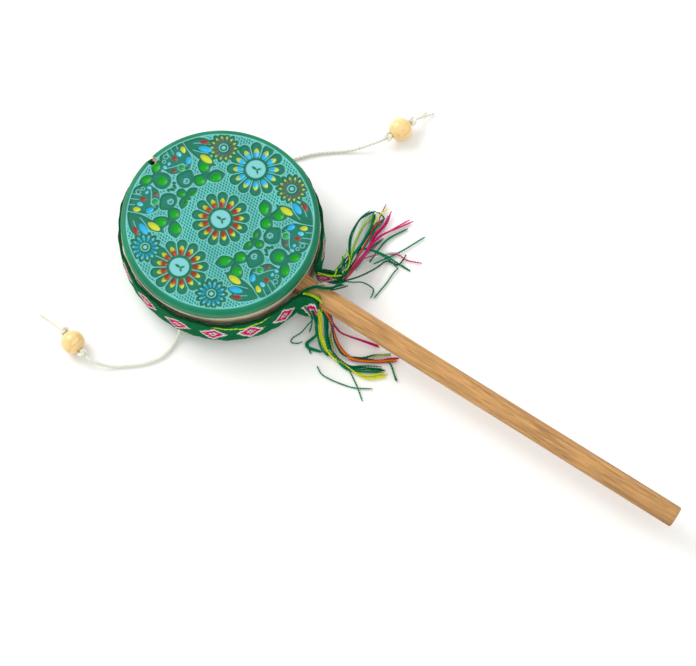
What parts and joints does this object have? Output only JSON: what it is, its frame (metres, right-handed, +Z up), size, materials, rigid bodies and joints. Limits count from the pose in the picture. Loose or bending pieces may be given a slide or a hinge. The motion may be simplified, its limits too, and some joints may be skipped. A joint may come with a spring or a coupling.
{
  "type": "rattle drum",
  "caption": "Small flat rattle drum on a wooden stick: tooled leather heads, wooden hoop, woven band with tassels, and knotted cords ending in wooden beads.",
  "frame": {"origin": "middle of the lower head's flat face, which the drum lies on", "axes": "+Z up along the drum's axis, +X along the stick towards its free end"},
  "size_m": [0.2898, 0.1914, 0.032],
  "materials": {
    "hoop_wood": "bare sanded wood",
    "tooled_leather": "tooled leather dyed teal, with painted dots, satin",
    "plain_leather": "smooth leather dyed teal, satin",
    "band_weave": "knotted cotton weave, green with pink diamonds and a yellow zigzag",
    "tassel_yarn": "loose cotton yarns in green, pink, yellow and white",
    "stick_wood": "bare wood with long brown grain",
    "cotton_cord": "off-white twisted cotton",
    "bead_wood": "pale polished wood"
  },
  "bodies": {
    "root": {"frame_hoop": "hoop_wood", "top_head": "tooled_leather", "bottom_head": "plain_leather", "woven_band": "band_weave", "upper_tassel": "tassel_yarn", "lower_tassel": "tassel_yarn", "handle_stick": "stick_wood", "left_cord": "cotton_cord", "left_inner_knot": "cotton_cord", "left_bead": "bead_wood", "left_outer_knot": "cotton_cord", "right_cord": "cotton_cord", "right_inner_knot": "cotton_cord", "right_bead": "bead_wood", "right_outer_knot": "cotton_cord"}
  },
  "joints": []
}
